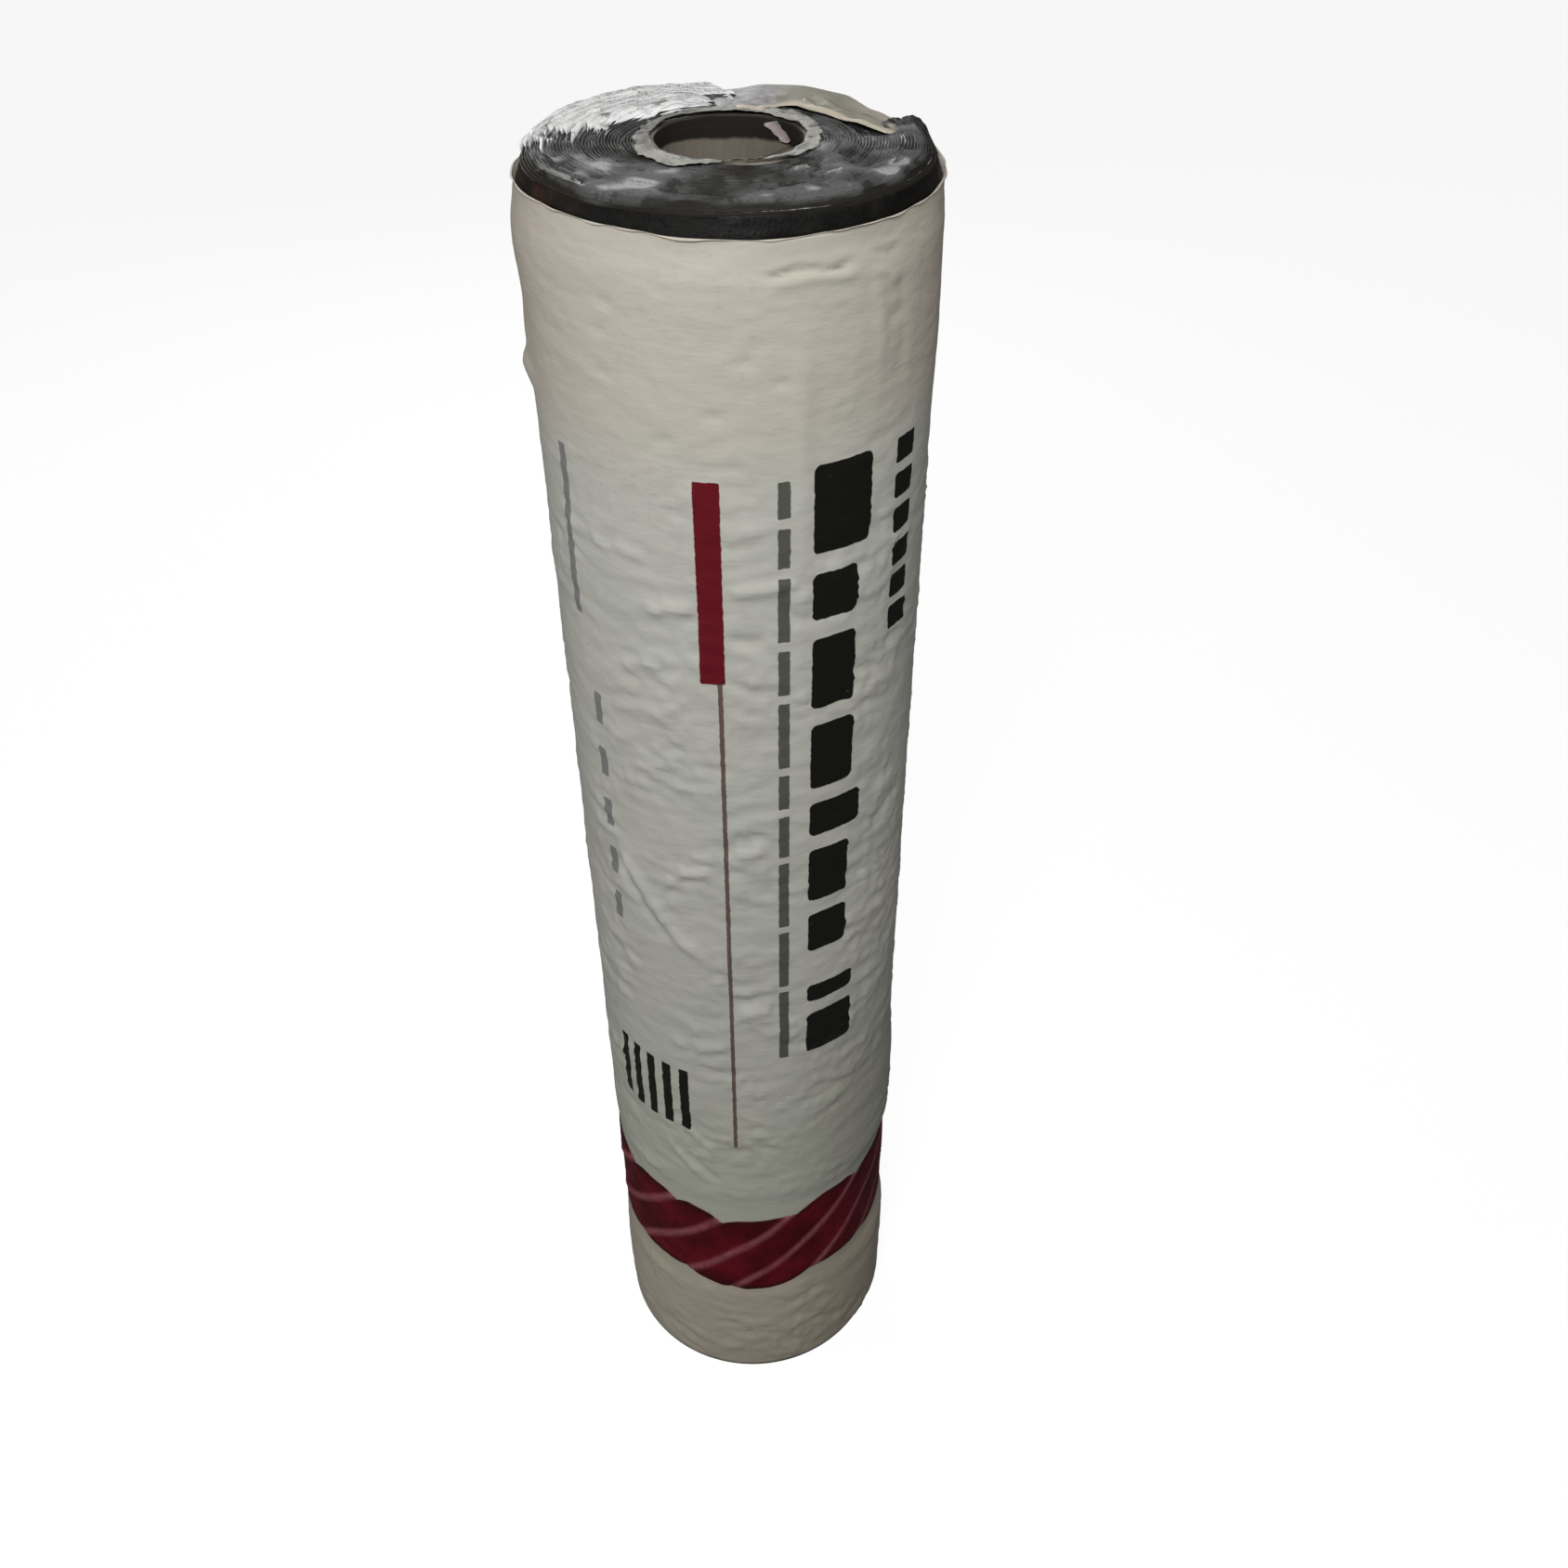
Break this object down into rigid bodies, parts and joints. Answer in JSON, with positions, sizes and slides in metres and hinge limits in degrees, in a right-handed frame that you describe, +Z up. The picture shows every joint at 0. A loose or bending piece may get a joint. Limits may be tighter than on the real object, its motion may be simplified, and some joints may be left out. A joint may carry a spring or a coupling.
{
  "type": "roll of bitumen membrane",
  "caption": "Self-adhesive bitumen sheet wound on an open cardboard core, in a film sleeve with a tape band, standing on its end.",
  "frame": {"origin": "middle of the core's bore at the floor end, on the floor", "axes": "+Z up along the core; -Y is the side seen in the picture"},
  "size_m": [0.2263, 0.2264, 1.0011],
  "materials": {
    "core_cardboard": "matt, spirally wound",
    "bitumen": "black, dull, sticky, with pale liner edges",
    "film": "creased off-white polythene film",
    "tape": "dark red film tape, creased"
  },
  "bodies": {
    "root": {"core_tube": "core_cardboard", "membrane_roll": "bitumen", "sleeve": "film", "tape_band": "tape"}
  },
  "joints": []
}
